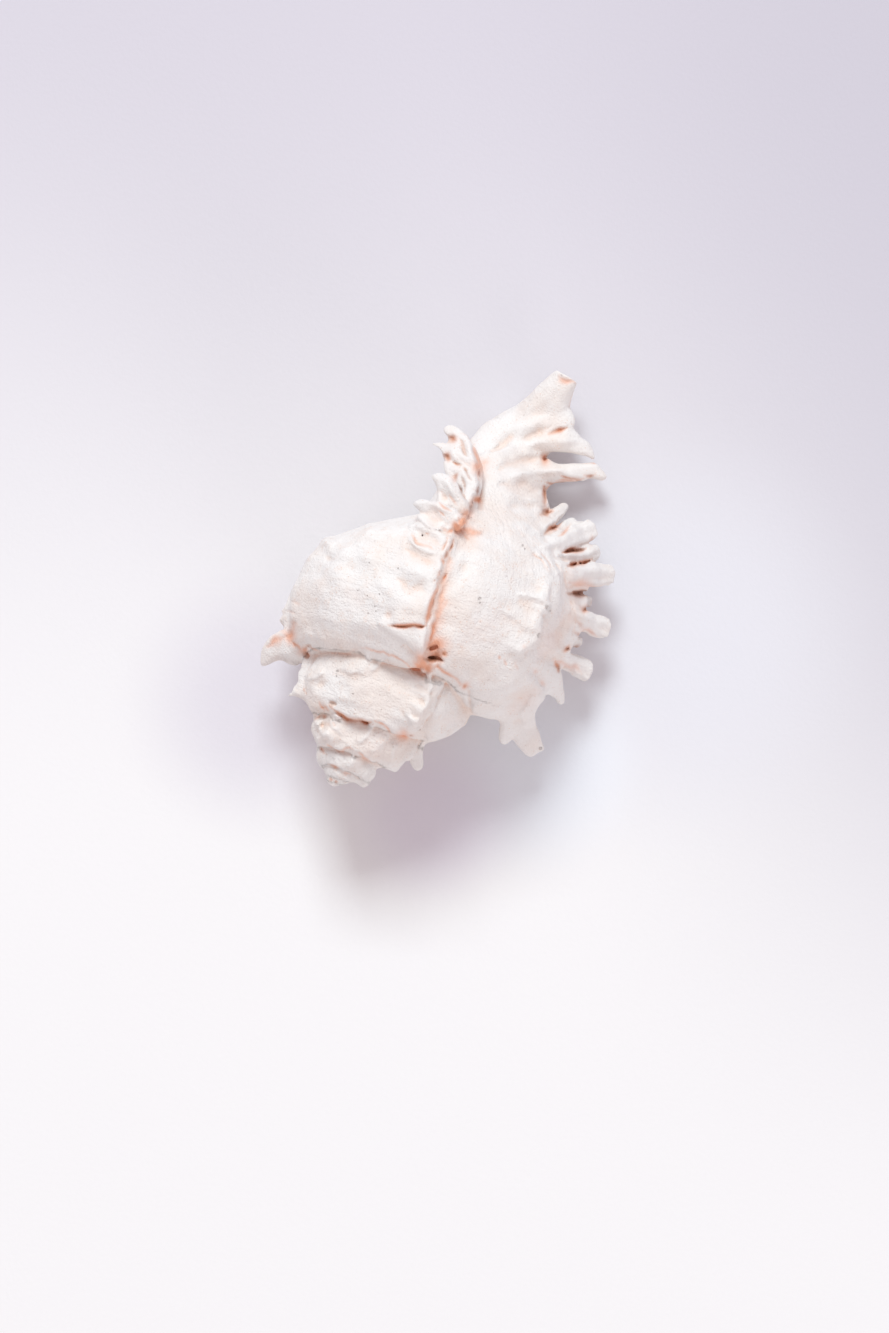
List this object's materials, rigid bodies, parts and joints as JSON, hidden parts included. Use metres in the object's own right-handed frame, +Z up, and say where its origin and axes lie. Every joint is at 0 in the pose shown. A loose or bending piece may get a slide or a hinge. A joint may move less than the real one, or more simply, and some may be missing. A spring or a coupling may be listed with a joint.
{
  "type": "murex shell",
  "caption": "Spiny coiled sea shell lying on its open mouth, with a stepped spire, thick old lips, a fringe of fronds along the lip and a long open canal.",
  "frame": {"origin": "on the surface the shell rests on, under the middle of its length and width", "axes": "+Y from the tip of the spire to the end of the canal, +X towards the fringed lip, +Z up through the back of the last whorl"},
  "size_m": [0.0694, 0.105, 0.057],
  "materials": {
    "shell": "chalky weathered white outside with pink and orange in the crevices, glossy pink in the mouth"
  },
  "bodies": {
    "root": {"shell": "shell"}
  },
  "joints": []
}
